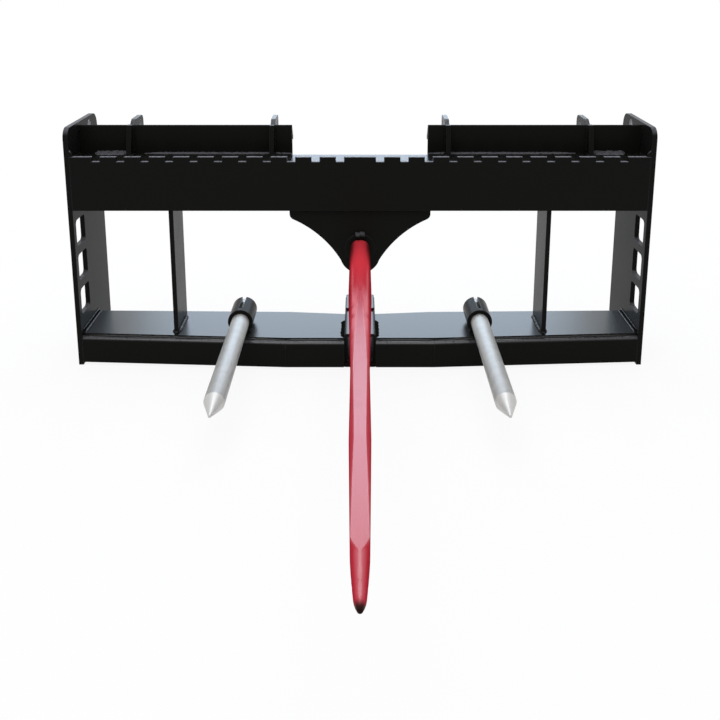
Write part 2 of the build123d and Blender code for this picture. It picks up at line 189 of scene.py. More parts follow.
# Extra roughness over the lighter red near the root
ROOT_LIFT_ROUGHNESS = 0.2
RED_COAT_INDEX = 1.65
RED_COAT_ROUGHNESS = 0.26
BARE_METAL = 0.8
STUD_METAL = 0.9

# Zinc
ZINC_SOFTNESS = 0.5
TURNED_GRAIN = (8.0, 1400.0, 8.0)
BLOOM_SHADE = 0.86
BLOOM_ROUGHNESS = 0.14
RING_ROUGHNESS = 0.08
ZINC_METAL = 0.6
EDGE_METAL = 0.2
# Where the darker zinc inside each socket stops short of its rear end
INNER_SOCKET_STOP = 4 * MM

# Form of a weld bead: steps along a ripple, steps across it, and how its ripples differ
BEAD_SEED = 7
BEAD_STEPS = 5
RING_STEPS = 4
BEAD_ARC = 6
BEAD_ROOT = 0.25
BEAD_SCALLOP = 0.07
RIPPLE_START = 0.18
RIPPLE_POWER = 0.6
RIPPLE_FLOOR = 0.8
RIPPLE_CREST = 0.3
SWELL = (0.95, 1.05)
DRIFT = (-0.10, 0.10)
END_SIZE = 0.35
END_SLOPE = 6
FRONT_RING_LEG = 0.4

# Plates that the beads lie on, and where the beads start and stop
PLATE = 8 * MM
TUBE_WALL = 6 * MM
COVER_SETBACK = 11 * MM
LATCH_BEND = 22 * MM
HOOK_FOOT = 6 * MM
HOOK_LIP = 40 * MM
RIB_HEAD = 6 * MM
BEAD_STOP = 4 * MM
SHORT_STOP = 2 * MM
TICK_FOOT = 3 * MM
TICK_HEAD = 10 * MM
TICK_WAYS = (Vector((-0.9, -0.4, 0)), Vector((0.9, -0.4, 0)))
SOCKET_FOOT = 10 * MM
SOCKET_LEAN = (0.62, 0.78)
RECEIVER_RUN = 92 * MM
LUG_RUN = 70 * MM
LUG_GAP = 30 * MM
SEAT_HALF = 12 * MM
SEAT_DROP = 3 * MM
SILL_BEVEL = 1.2 * MM

# Toes of the cover's end bead, as shares of the common leg, and how their two sides spread
TOE_REACH = 0.9
TOE_RISE = 1.35
TOE_PROUD = 0.6
TOE_SPREAD = 0.8


class SpearStageSettings(bpy.types.PropertyGroup):
    """Camera, floor and lamps."""

    lens: bpy.props.FloatProperty(
        name="Lens", description="Focal length on a 36 mm sensor", default=46.9, unit="CAMERA")
    pitch: bpy.props.FloatProperty(
        name="Pitch", description="How far the camera looks down", default=0.2332, subtype="ANGLE")
    frame_shift: bpy.props.FloatProperty(
        name="Frame shift", description="Vertical shift of the frame", default=-0.25)
    camera_place: bpy.props.FloatVectorProperty(
        name="Camera place", description="Where the camera stands", default=(0.0, -1.36347, 0.81164),
        subtype="XYZ", unit="LENGTH")
    floor_colour: bpy.props.FloatVectorProperty(
        name="Floor colour", description="Colour of the plain floor", default=(0.86, 0.86, 0.87),
        subtype="COLOR")
    floor_size: bpy.props.FloatProperty(
        name="Floor size", description="Side of the square floor", default=60.0, unit="LENGTH")
    floor_lift: bpy.props.FloatProperty(
        name="Floor lift", description="Share of plain white in what the camera sees of the floor",
        default=0.9)
    room_light: bpy.props.FloatProperty(
        name="Room light", description="Even light from all round", default=0.7)
    back_power: bpy.props.FloatProperty(
        name="Back lamp", description="Power of the wide lamp behind the frame", default=56.0, unit="POWER")
    sky_power: bpy.props.FloatProperty(
        name="Sky lamp", description="Power of the lamp high behind the frame", default=40.0, unit="POWER")
    top_power: bpy.props.FloatProperty(
        name="Top lamp", description="Power of the lamp overhead", default=38.0, unit="POWER")


class SpearFinishSettings(bpy.types.PropertyGroup):
    """Colours and grain of the finishes."""

    black: bpy.props.FloatVectorProperty(
        name="Black", description="Frame paint", default=(0.0085, 0.0085, 0.0077), subtype="COLOR")
    # Lighter paint of rubbed edges and of upper faces; on upper faces it is partly a painted highlight
    worn_and_lit_black: bpy.props.FloatVectorProperty(
        name="Worn and lit black", description="Paint rubbed along its edges", default=(0.24, 0.24, 0.27),
        subtype="COLOR")
    # Light bare steel of the bore walls, partly a painted highlight
    bare_steel_and_highlight: bpy.props.FloatVectorProperty(
        name="Bare steel", description="Walls of the cross bore", default=(0.50, 0.50, 0.52), subtype="COLOR")
    # How much upper faces take the lighter paint: partly rubbed paint, partly a painted highlight
    top_wear_and_light: bpy.props.FloatProperty(
        name="Top wear and light", description="Share of rubbed paint on the upper edges", default=0.6)
    black_roughness: bpy.props.FloatProperty(
        name="Black roughness", description="Roughness of the frame paint", default=0.24)
    black_shine: bpy.props.FloatProperty(
        name="Black shine", description="Specular level of the frame paint", default=0.02)
    top_coat: bpy.props.FloatProperty(
        name="Top coat", description="Extra gloss where the paint lay thick on upper faces", default=0.6)
    hind_coat: bpy.props.FloatProperty(
        name="Hind coat", description="Extra gloss on faces that point back or outwards", default=0.35)
    red: bpy.props.FloatVectorProperty(
        name="Red", description="Spear paint", default=(0.46, 0.026, 0.046), subtype="COLOR")
    # Lighter red near the root: painted light that lifts the frame's shade there
    lifted_root_red: bpy.props.FloatVectorProperty(
        name="Lifted root red", description="Spear paint near its root", default=(0.78, 0.045, 0.066),
        subtype="COLOR")
    # Darker red on the spear's sides: painted shade
    shaded_side_red: bpy.props.FloatVectorProperty(
        name="Side red", description="Spear paint on its sides", default=(0.26, 0.011, 0.018),
        subtype="COLOR")
    # Pink of the painted highlight on the spear's upper corners and shoulders
    highlight_pink: bpy.props.FloatVectorProperty(
        name="Highlight pink", description="Spear paint rubbed along its corners", default=(0.82, 0.21, 0.26),
        subtype="COLOR")
    deep_red: bpy.props.FloatVectorProperty(
        name="Deep red", description="Spear paint where it is thin", default=(0.34, 0.011, 0.019),
        subtype="COLOR")
    red_roughness: bpy.props.FloatProperty(
        name="Red roughness", description="Roughness of the spear paint", default=0.28)
    red_shine: bpy.props.FloatProperty(
        name="Red shine", description="Specular level of the spear paint", default=0.0)
    red_coat: bpy.props.FloatProperty(
        name="Red coat", description="Extra gloss where the paint lay thick on the spear's upper side",
        default=0.98)
    # Dark bare steel at the point, also used for the painted shade on the spear's sides near its root
    tip_and_root_shade: bpy.props.FloatVectorProperty(
        name="Tip", description="Bare steel at the spear's point", default=(0.022, 0.008, 0.007),
        subtype="COLOR")
    tip_length: bpy.props.FloatProperty(
        name="Tip length", description="Length of the bare point", default=0.008, unit="LENGTH")
    nose_length: bpy.props.FloatProperty(
        name="Nose length", description="Length of the spear's ground nose", default=0.095, unit="LENGTH")
    stud_steel: bpy.props.FloatVectorProperty(
        name="Stud steel", description="Bare thread behind the nut", default=(0.24, 0.24, 0.25),
        subtype="COLOR")
    thread_pitch: bpy.props.FloatProperty(
        name="Thread pitch", description="Pitch of the stud's thread", default=0.0035, unit="LENGTH")
    zinc: bpy.props.FloatVectorProperty(
        name="Zinc", description="Plating of the stabilisers", default=(0.46, 0.455, 0.44), subtype="COLOR")
    # Lighter zinc over each stabiliser's point
    lighter_point_zinc: bpy.props.FloatVectorProperty(
        name="Bright zinc", description="Freshly turned points", default=(0.59, 0.585, 0.57), subtype="COLOR")
    point_length: bpy.props.FloatProperty(
        name="Point length", description="Length of a stabiliser's point", default=0.05, unit="LENGTH")
    # Darker zinc over the stretch of rod inside each socket
    inner_socket_zinc: bpy.props.FloatVectorProperty(
        name="Inner socket zinc", description="Plating inside the sockets", default=(0.05, 0.048, 0.03),
        subtype="COLOR")
    edge_radius: bpy.props.FloatProperty(
        name="Edge radius", description="Softness of cut plate edges", default=0.0016, unit="LENGTH")


class SpearWeldSettings(bpy.types.PropertyGroup):
    """Size of the weld beads."""

    leg: bpy.props.FloatProperty(
        name="Leg", description="Leg of a common fillet weld", default=0.005, unit="LENGTH")
    ripple: bpy.props.FloatProperty(
        name="Ripple", description="Length of one ripple", default=0.0042, unit="LENGTH")
    bulge: bpy.props.FloatProperty(
        name="Bulge", description="How far a bead stands proud, as a share of its leg", default=0.14)


class Value:
    """One socket of a node tree, with arithmetic that adds Math nodes."""

    def __init__(self, tree, socket):
        self.tree = tree
        self.socket = socket

    def _math(self, operation, first, second):
        made = self.tree.node("ShaderNodeMath", {"operation": operation}, {0: first, 1: second})
        return made[0]

    def __add__(self, other):
        return self._math("ADD", self, other)

    __radd__ = __add__

    def __sub__(self, other):
        return self._math("SUBTRACT", self, other)

    def __rsub__(self, other):
        return self._math("SUBTRACT", other, self)

    def __mul__(self, other):
        return self._math("MULTIPLY", self, other)

    __rmul__ = __mul__

    def above(self, low, high):
        """Rises smoothly from 0 at low to 1 at high."""
        made = self.tree.node(
            "ShaderNodeMapRange",
            {"interpolation_type": "SMOOTHSTEP"},
            {"Value": self, "From Min": low, "From Max": high},
        )
        return made[0]

    def within(self, start, end):
        """Rises smoothly over start, a pair of levels, and falls again over end."""
        return self.above(*start) * (1 - self.above(*end))

    def most(self, other):
        """The larger of two values."""
        return self._math("MAXIMUM", self, other)


class Outputs:
    """The outputs of one node, by name or number."""

    def __init__(self, tree, made):
        self.tree = tree
        self.made = made

    def __getitem__(self, key):
        return Value(self.tree, self.made.outputs[key])


class Tree:
    """A node tree that is filled through one method."""

    def __init__(self, node_tree):
        self.node_tree = node_tree
        node_tree.nodes.clear()

    def node(self, kind, settings=None, inputs=None):
        """Adds a node: its type, its settings, then the values or links of its sockets."""
        made = self.node_tree.nodes.new(kind)
        for key, setting in (settings or {}).items():
            setattr(made, key, setting)
        for key, given in (inputs or {}).items():
            if isinstance(given, Value):
                self.node_tree.links.new(given.socket, made.inputs[key])
            else:
                made.inputs[key].default_value = given
        return Outputs(self, made)

    def place(self):
        """Where a point lies on the object, in metres."""
        return self.node("ShaderNodeTexCoord")["Object"]

    def parts(self, vector):
        """X, Y and Z of a vector."""
        return self.node("ShaderNodeSeparateXYZ", None, {0: vector})

    def length(self, vector):
        """Length of a vector."""
        made = self.node("ShaderNodeVectorMath", {"operation": "LENGTH"}, {0: vector})
        return made["Value"]

    def stretched(self, place, scale):
        """A place with each of its parts scaled."""
        made = self.node("ShaderNodeVectorMath", {"operation": "MULTIPLY"}, {0: place, 1: scale})
        return made[0]

    def noise(self, place, scale, detail):
        """Soft noise from 0 to 1."""
        made = self.node("ShaderNodeTexNoise", None, {"Vector": place, "Scale": scale, "Detail": detail})
        return made["Fac"]

    def blend(self, share, first, second):
        """Colour mixed from two colours, each a tuple or a socket."""
        made = self.node("ShaderNodeMix", {"data_type": "RGBA"}, {0: share, 6: first, 7: second})
        return made[2]


def opaque(colour):
    """A colour property as four numbers."""
    return (*colour, 1.0)


def new_material(name):
    """A material with an empty tree."""
    made = bpy.data.materials.new(name)
    made.use_nodes = True
    return made, Tree(made.node_tree)


def surface(tree, inputs):
    """Principled shader with these inputs, wired to the material's output."""
    shader = tree.node("ShaderNodeBsdfPrincipled", None, inputs)
    tree.node("ShaderNodeOutputMaterial", None, {"Surface": shader["BSDF"]})


def rounded_edges(tree, radius):
    """Normal with softened edges, and a mask that is 1 on them."""
    soft = tree.node("ShaderNodeBevel", {"samples": EDGE_SAMPLES}, {"Radius": radius})["Normal"]
    plain = tree.node("ShaderNodeNewGeometry")["Normal"]
    product = tree.node("ShaderNodeVectorMath", {"operation": "DOT_PRODUCT"}, {0: soft, 1: plain})["Value"]
    return soft, 1 - product.above(*EDGE_PRODUCT)


def relief(tree, height, soft, strength, distance):
    """Normal of a bump over softened edges."""
    made = tree.node("ShaderNodeBump", None, {
        "Strength": strength, "Distance": distance, "Height": height, "Normal": soft})
    return made["Normal"]


def bore_walls(tree, place):
    """Mask that is 1 on the walls of the cross bore."""
    reach = CROSS_BORE["dims"]["r_mm"] * MM + BORE_MARGIN
    middle = CROSS_BORE["pos_m"]
    off = tree.node("ShaderNodeVectorMath", {"operation": "SUBTRACT"}, {0: place, 1: middle})[0]
    across = tree.length(tree.stretched(off, (0, 1, 1)))
    return 1 - across.above(reach, reach + BORE_EDGE)


def black_paint(settings, name, wear=0.0, coat=0.0, coat_rise=FACING_UP, coat_floor=0.0,
                coat_roughness=COAT_ROUGHNESS, softness=1.0, shine=None, bored=False, wear_span=None):
    """Gloss black paint over welded plate, with orange peel, rubbed edges, and upper faces in lighter paint
    that is partly worn paint and partly a painted highlight.
    """
    made, tree = new_material(name)
    place = tree.place()
    spot = tree.parts(place)
    soft, edges = rounded_edges(tree, softness * settings.edge_radius)
    facing = tree.parts(soft)

    # Upper faces take the lighter paint: partly rubbed paint, partly a painted highlight from the overhead
    # light
    worn_and_lit_top = wear * settings.top_wear_and_light * facing["Z"].above(*WORN_AND_LIT_RISE)
    # Painted highlight kept to a middle span across X, where the hook plates don't shade the face
    if wear_span:
        aside = tree.node("ShaderNodeMath", {"operation": "ABSOLUTE"}, {0: spot["X"]})[0]
        worn_and_lit_top = worn_and_lit_top * (1 - aside.above(wear_span - WEAR_AND_LIGHT_FADE, wear_span))
    speck = tree.noise(place, *SPECK)
    rubbed = (EDGE_WEAR * edges).most(worn_and_lit_top) * speck.above(*SPECK_BREAK)
    colour = tree.blend(rubbed, opaque(settings.black), opaque(settings.worn_and_lit_black))
    # Bore walls in light bare steel, partly a painted highlight
    if bored:
        colour = tree.blend(bore_walls(tree, place), colour, opaque(settings.bare_steel_and_highlight))

    upper = facing["Z"].above(*coat_rise) * spot["Z"].above(coat_floor - MM, coat_floor)
    outward = facing["X"] * spot["X"]
    hind = facing["Y"].above(*HIND_TURN).most(outward.above(*OUTWARD_TURN))
    cloud = tree.noise(place, *CLOUD)
    peel = tree.noise(place, *FINE_PEEL) + BROAD_PEEL_SHARE * tree.noise(place, *BROAD_PEEL)
    clouded = settings.black_roughness + CLOUD_ROUGHNESS * (cloud - 0.5)
    surface(tree, {
        "Base Color": colour,
        "Roughness": clouded + WORN_AND_LIT_ROUGHNESS * rubbed,
        "Specular IOR Level": settings.black_shine if shine is None else shine,
        "Coat Weight": (coat * settings.top_coat * upper).most(settings.hind_coat * hind),
        "Coat Roughness": coat_roughness,
        "Normal": relief(tree, peel, soft, *PEEL_RELIEF),
    })
    return made


def red_paint(settings, point_y, root_y, stud_y):
    """Satin red paint over a forged bar, worn to dark steel at its point, with a bare threaded stud. Painted
    shade darkens its sides and its sides near the root, painted highlights lighten its upper corners and
    shoulders, and painted light lifts the red near its root.
    """
    made, tree = new_material("spear_red_paint")
    place = tree.place()
    along = tree.parts(place)["Y"]
    soft, edges = rounded_edges(tree, SPEAR_SOFTNESS * settings.edge_radius)
    rise = tree.parts(soft)["Z"]
    forged = tree.noise(tree.stretched(place, FORGED_GRAIN), *FORGED)
    mottle = tree.noise(place, *MOTTLE)

    def before_root(far, near):
        """Mask that rises between two distances in front of the root."""
        return along.above(root_y - far, root_y - near)

    def behind_point(near, far):
        """Mask that rises between two distances behind the point."""
        return along.above(point_y + near, point_y + far)

    ragged = along + TIP_RAGGED * (tree.noise(place, *RAGGED) - 0.5)
    bare = 1 - ragged.above(*[point_y + share * settings.tip_length for share in TIP_BLEND])
    body = behind_point(settings.nose_length - NOSE_BLEND[0], settings.nose_length + NOSE_BLEND[1])
    # Painted light: lighter red near the root, lifting the frame's shade there
    root_lift = before_root(*ROOT_LIFT_STRETCH)
    stud = along.above(stud_y, stud_y + MM)
    thin = THIN_SHARE * forged.above(*FORGED_BREAK) * mottle.above(*MOTTLE_BREAK)
    # Painted shade: faces that don't look up are darker red, less so on the nose
    shaded_flanks = (1 - rise.above(*FACING_UP)) * (NOSE_SHADE_SHARE + (1 - NOSE_SHADE_SHARE) * body)
    # Painted highlight: pink along the upper corners, and on the shoulders of the waist stretch
    corners = CORNER_SHARE * edges * rise.within(CORNER_START, CORNER_END)
    waist = before_root(*WAIST_START) * (1 - before_root(*WAIST_END))
    shoulder_sheen = SHOULDER_SHARE * waist * rise.within(SHOULDER_START, SHOULDER_END)
    # Painted shade: the spear's sides near the root darken in the frame's shade
    root_shade = ROOT_SHADE_SHARE * before_root(*ROOT_SHADE_STRETCH) * (1 - rise.above(*ROOT_SHADE_END))
    layers = (
        (thin, settings.deep_red),
        (root_lift, settings.lifted_root_red),
        (shaded_flanks, settings.shaded_side_red),
        (corners.most(shoulder_sheen), settings.highlight_pink),
        (root_shade, settings.tip_and_root_shade),
        (stud, settings.stud_steel),
        (bare, settings.tip_and_root_shade),
    )
    colour = opaque(settings.red)
    for share, over in layers:
        colour = tree.blend(share, colour, opaque(over))

    half_pitch = settings.thread_pitch / 2
    thread = tree.node("ShaderNodeMath", {"operation": "PINGPONG"}, {0: along, 1: half_pitch})[0]
    forged_height = (1 - stud) * (forged + MOTTLE_HEIGHT * mottle)
    height = forged_height + stud * thread * (THREAD_HEIGHT / settings.thread_pitch)
    crown = body * rise.above(*BODY_CROWN) + (1 - body) * rise.above(*NOSE_CROWN)
    handled = 1 - HANDLED_SHARE * behind_point(*HANDLED_STRETCH)
    mottled = settings.red_roughness + MOTTLE_ROUGHNESS * (mottle - 0.5)
    surface(tree, {
        "Base Color": colour,
        "Roughness": mottled + BARE_ROUGHNESS * bare + ROOT_LIFT_ROUGHNESS * root_lift,
        "Specular IOR Level": settings.red_shine,
        "Coat Weight": settings.red_coat * crown * handled * (1 - bare),
        "Coat IOR": RED_COAT_INDEX,
        "Coat Roughness": RED_COAT_ROUGHNESS,
        "Metallic": (BARE_METAL * bare).most(STUD_METAL * stud),
        "Normal": relief(tree, height, soft, *FORGED_RELIEF),
    })
    return made


def zinc_plate(settings, name, tone, roughness, spans=()):
    """Zinc over a turned bar: fine rings, a cloudy bloom, and stretches along Y of another tone."""
    made, tree = new_material(name)
    place = tree.place()
    along = tree.parts(place)["Y"]
    soft, edges = rounded_edges(tree, ZINC_SOFTNESS * settings.edge_radius)
    rings = tree.noise(tree.stretched(place, TURNED_GRAIN), *TURNED)
    bloom = tree.noise(place, *BLOOM)
    light = opaque([tone * part for part in settings.zinc])
    dark = opaque([BLOOM_SHADE * tone * part for part in settings.zinc])
    colour = tree.blend(bloom.above(*BLOOM_BREAK), dark, light)
    for first, last, other in spans:
        inside = along.within((first - MM, first), (last, last + MM))
        colour = tree.blend(inside, colour, opaque(other))
    surface(tree, {
        "Base Color": colour,
        "Roughness": roughness + BLOOM_ROUGHNESS * (bloom - 0.5) + RING_ROUGHNESS * (rings - 0.5),
        "Metallic": ZINC_METAL + EDGE_METAL * edges,
        "Normal": relief(tree, rings, soft, *TURNED_RELIEF),
    })
    return made


def seen_rays(tree):
    """Mask of the rays that see the background as plain white."""
    ray = tree.node("ShaderNodeLightPath")
    return ray["Is Camera Ray"].most(ray["Is Glossy Ray"]).most(ray["Is Transmission Ray"])


def dress(nodes, material):
    """Gives CAD nodes one material."""
    for name in nodes:
        mesh = frame["nodes"][name].data
        mesh.materials.clear()
        mesh.materials.append(material)


def add_piece(name, shape, material):
    """Turns a bmesh into a smooth black piece that rides on the frame."""
    bmesh.ops.recalc_face_normals(shape, faces=shape.faces)
    mesh_data = bpy.data.meshes.new(name)
    shape.to_mesh(mesh_data)
    shape.free()
    mesh_data.materials.append(material)
    for face in mesh_data.polygons:
        face.use_smooth = True
    made = bpy.data.objects.new(name, mesh_data)
    bpy.context.scene.collection.objects.link(made)
    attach(made, "root")


class Seam(NamedTuple):
    """Straight weld seam: its two ends, the ways along its two plates, its legs as shares of the common leg,
    the length of its ripples as a share, and how deep they are."""

    ends: tuple
    ways: tuple
    legs: tuple = (1.0, 1.0)
    pitch: float = 1.0
    scallop: float = BEAD_SCALLOP


def along_x(start, end, y, z):
    """Two ends of a seam that runs along X."""
    return (start, y, z), (end, y, z)


def along_y(x, start, end, z):
    """Two ends of a seam that runs along Y."""
    return (x, start, z), (x, end, z)


def along_z(x, y, start, end):
    """Two ends of a seam that runs along Z."""
    return (x, y, start), (x, y, end)


def dome_at(share):
    """Height of a ripple, from 0 to 1, at a share of its length."""
    return math.sin(math.pi * (RIPPLE_START + (1 - RIPPLE_START) * share)) ** RIPPLE_POWER


def bead_section(base, ways, legs, bulge, scale, dome, scallop=BEAD_SCALLOP, drift=0.0):
    """Cross-section of a bead: its root behind the corner, then an arc from one plate to the other."""
    first, second = ways
    first_leg, second_leg = legs
    proud = (first + second).normalized()
    wave = 1 - scallop * (1 - dome)
    section = [base - proud * BEAD_ROOT * min(legs)]
    for turn in range(BEAD_ARC + 1):
        part = turn / BEAD_ARC
        flat = first * first_leg * (1 - part) * (1 + drift) + second * second_leg * part * (1 - drift)
        lift = bulge * min(legs) * 4 * part * (1 - part) * (RIPPLE_FLOOR + RIPPLE_CREST * dome)
        section.append(base + flat * scale * wave + proud * lift * scale)
    return section


def skin(shape, sections, closed):
    """Joins cross-sections with faces, and caps the ends of an open bead."""
    following = sections[1:] + sections[:1] if closed else sections[1:]
    for before, after in zip(sections, following):
        for index, _ in enumerate(before):
            other = (index + 1) % len(before)
            shape.faces.new((before[index], before[other], after[other], after[index]))
    if not closed:
        shape.faces.new(sections[0])
        shape.faces.new(sections[-1][::-1])


def add_bead(shape, seam, settings, draw):
    """Sweeps one rippled bead along a straight seam into a bmesh."""
    start, end = [Vector(point) for point in seam.ends]
    run = end - start
    legs = [share * settings.leg for share in seam.legs]
    count = max(2, round(run.length / (settings.ripple * seam.pitch)))
    sections = []
    for index in range(count):
        swell = draw.uniform(*SWELL)
        drift = draw.uniform(*DRIFT)
        for step in range(BEAD_STEPS):
            share = (index + step / BEAD_STEPS) / count
            taper = min(1.0, END_SLOPE * share + END_SIZE, END_SLOPE * (1 - share) + END_SIZE)
            points = bead_section(
                start + run * share, seam.ways, legs, settings.bulge, swell * taper,
                dome_at(step / BEAD_STEPS), seam.scallop, drift)
            sections.append([shape.verts.new(point) for point in points])
    skin(shape, sections, closed=False)


def add_ring_bead(shape, centre, radius, axis, leg, settings, draw):
    """Sweeps one rippled bead round a tube where it meets a plate; axis points away from the plate."""
    over = axis.cross(RIGHT)
    count = round(2 * math.pi * radius / settings.ripple)
    sections = []
    for index in range(count):
        swell = draw.uniform(*SWELL)
        for step in range(RING_STEPS):
            angle = 2 * math.pi * (index + step / RING_STEPS) / count
            out = RIGHT * math.cos(angle) + over * math.sin(angle)
            points = bead_section(
                centre + out * radius, (out, axis), (leg, leg), settings.bulge, swell,
                dome_at(step / RING_STEPS))
            sections.append([shape.verts.new(point) for point in points])
    skin(shape, sections, closed=True)


def lay_beads(name, seams, material, settings, draw):
    """Makes one piece of straight beads."""
    shape = bmesh.new()
    for seam in seams:
        add_bead(shape, seam, settings, draw)
    add_piece(name, shape, material)


class Side:
    """One side of the frame: which way is outwards there, and where its pieces meet."""

    def __init__(self, name, outer, leg):
        self.name = name
        self.outer = outer
        self.inner = -outer
        self.leg = leg
        self.plate_x = self.inner_x(self.box("side_plate"))
        self.bend_x = self.outer_x(self.box("beam_front_centre"))
        self.tube_x = self.outer_x(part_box("receiver_tube"))
        self.cover_front = self.box("side_plate")[0].y + COVER_SETBACK
        self.cover_rear = self.box("beam_cover")[1].y
        self.top = self.box("beam_cover")[1].z

    def box(self, stem):
        """Lowest and highest corner of this side's piece."""
        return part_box(f"{stem}_{self.name}")

    def inner_x(self, box):
        """Where a box ends towards the middle of the frame."""
        low, high = box
        return low.x if self.outer.x > 0 else high.x

    def outer_x(self, box):
        """Where a box ends away from the middle of the frame."""
        low, high = box
        return high.x if self.outer.x > 0 else low.x


def plate_seams(side):
    """Seams of the latch flange, hook, shelf and rib's front foot, and the tick down the beam's bend."""
    latch_low, latch_high = side.box("latch_plate")
    hook_low, hook_high = side.box("hook_plate")
    rib_low, rib_high = side.box("upright_rib")
    bend_low, bend_high = side.box("beam_front_centre")
    shelf_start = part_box("upper_front_plate")[1].y + BEAD_STOP
    shelf_end = hook_low.y - BEAD_STOP
    shelf_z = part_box("shelf_plate")[1].z
    flange_run = (latch_low.y + LATCH_BEND, latch_high.y - BEAD_STOP)
    flange_z = latch_low.z + PLATE
    hook_run = (hook_low.z + HOOK_FOOT, hook_high.z - HOOK_LIP)
    tick_run = (bend_low.z + TICK_FOOT, bend_high.z - TICK_HEAD)
    return [
        Seam(along_y(side.plate_x, *flange_run, flange_z), (side.inner, UP)),
        Seam(along_y(side.tube_x, *flange_run, flange_z), (side.outer, UP)),
        Seam(along_z(side.plate_x, hook_low.y + PLATE, *hook_run), (side.inner, BACK)),
        Seam(along_y(side.plate_x, shelf_start, shelf_end, shelf_z), (side.inner, UP)),
        Seam(along_x(rib_low.x, rib_high.x, rib_low.y, side.top), (FORWARD, UP)),
        Seam(along_z(side.bend_x, bend_low.y, *tick_run), TICK_WAYS, legs=(0.4, 0.4)),
    ]


def rib_seams(side):
    """Seams along both faces of an upright rib, at its foot and behind the front plate."""
    rib_low, rib_high = side.box("upright_rib")
    head_run = (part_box("upper_front_plate")[0].z + BEAD_STOP, rib_high.z - RIB_HEAD)
    seams = []
    for face_x, way in ((rib_low.x, LEFT), (rib_high.x, RIGHT)):
        seams.append(Seam(along_y(face_x, rib_low.y, rib_high.y, side.top), (way, UP)))
        seams.append(Seam(along_z(face_x, rib_low.y, *head_run), (way, BACK), legs=(0.8, 0.8)))
    return seams


def gusset_seams(side):
    """Seams along the foot and the back of each gusset."""
    seams = []
    for place in ("outer", "inner"):
        low, high = side.box(f"{place}_hook_gusset")
        face_x = side.inner_x((low, high))
        foot = along_y(face_x, low.y + SHORT_STOP, high.y - MM, low.z)
        back = along_z(face_x, high.y, low.z, high.z - MM)
        seams.append(Seam(foot, (side.inner, UP), legs=(0.8, 0.8)))
        seams.append(Seam(back, (side.inner, FORWARD), legs=(0.7, 0.7)))
    return seams


def socket_seams(side):
    """Seams along both sides of a stabiliser's socket, on the beam's cover."""
    low, high = side.box("stabiliser_socket")
    middle_x = (low.x + high.x) / 2
    lean_out, lean_up = SOCKET_LEAN
    seams = []
    for way in (LEFT, RIGHT):
        foot_x = middle_x + SOCKET_FOOT * way.x
        run = along_y(foot_x, low.y + SHORT_STOP, high.y - SHORT_STOP, side.top)
        seams.append(Seam(run, (way, lean_out * way + lean_up * UP), legs=(1.5, 1.6)))
    return seams


def common_seams(side):
    """The seams with the frame's common paint."""
    return plate_seams(side) + rib_seams(side) + gusset_seams(side) + socket_seams(side)


def cover_end_seams(side):
    """Seam where the cover ends at the side plate."""
    run = along_y(side.plate_x, side.cover_front + SHORT_STOP, side.cover_rear, side.top)
    return [Seam(run, (side.inner, UP), legs=(0.7, 1.1))]


def cover_toe_seams(side):
    """Two thin beads along the toes of the cover's end bead, one on the side plate and one on the cover."""
    start = side.cover_front + SHORT_STOP
    toe_x = side.plate_x + TOE_REACH * side.leg * side.inner.x
    toe_z = side.top + TOE_RISE * side.leg
    plate_ways = (TOE_PROUD * side.inner + TOE_SPREAD * UP, TOE_PROUD * side.inner + TOE_SPREAD * DOWN)
    cover_ways = (TOE_PROUD * UP + TOE_SPREAD * side.inner, TOE_PROUD * UP + TOE_SPREAD * side.outer)
    return [
        Seam(along_y(side.plate_x, start, side.cover_rear, toe_z), plate_ways, legs=(0.5, 0.5)),
        Seam(along_y(toe_x, start, side.cover_rear, side.top), cover_ways, legs=(0.5, 0.5)),
    ]


def receiver_seams(side):
    """A coarse bead along the receiver on the cover, and one down its front beside the beam."""
    tube_low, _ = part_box("receiver_tube")
    bend_low, bend_high = side.box("beam_front_centre")
    end_x = side.inner_x((bend_low, bend_high))
    cover_run = along_y(side.tube_x, tube_low.y + SHORT_STOP, tube_low.y + RECEIVER_RUN, side.top)
    front_run = along_z(end_x, tube_low.y, tube_low.z, bend_high.z - SHORT_STOP)
    return [
        Seam(cover_run, (side.outer, UP), legs=(1.6, 0.9), pitch=4.5, scallop=0.45),
        Seam(front_run, (side.inner, FORWARD), legs=(1.0, 1.8)),
    ]


def shelf_seams(side):
    """Beads on the shelf in front of the hook plate, and one at the front plate's end."""
    front_low, front_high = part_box("upper_front_plate")
    shelf_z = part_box("shelf_plate")[1].z
    hook = side.box("hook_plate")
    hook_y = hook[0].y
    lug_x = side.outer_x(side.box("outer_hook_lug"))
    heavy_run = along_x(lug_x, lug_x + LUG_RUN * side.outer.x, hook_y, shelf_z)
    light_run = along_x(lug_x + LUG_GAP * side.inner.x, side.inner_x(hook), hook_y, shelf_z)
    end_run = along_y(side.plate_x, front_low.y + MM, front_high.y, front_high.z)
    return [
        Seam(heavy_run, (FORWARD, UP), legs=(4.4, 1.2)),
        Seam(light_run, (FORWARD, UP), legs=(2.2, 0.6)),
        Seam(end_run, (side.inner, UP), legs=(1.4, 2.4)),
    ]


def cover_edge_seams(side):
    """The smooth bead along the cover's front edge, from the receiver past the bend to the side plate."""
    low, _ = side.box("beam_cover")
    inner_end = (side.tube_x, low.y, low.z)
    bend = (side.bend_x, low.y, low.z)
    outer_end = (side.plate_x, side.cover_front, low.z)
    runs = ((inner_end, bend), (bend, outer_end))
    return [Seam(run, (FORWARD, UP), legs=(0.8, 0.7), scallop=0.02) for run in runs]


def bushing_ring():
    """Height of the bushing's axis, and its radius."""
    low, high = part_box("spear_bushing")
    return (low.z + high.z) / 2, (high.x - low.x) / 2


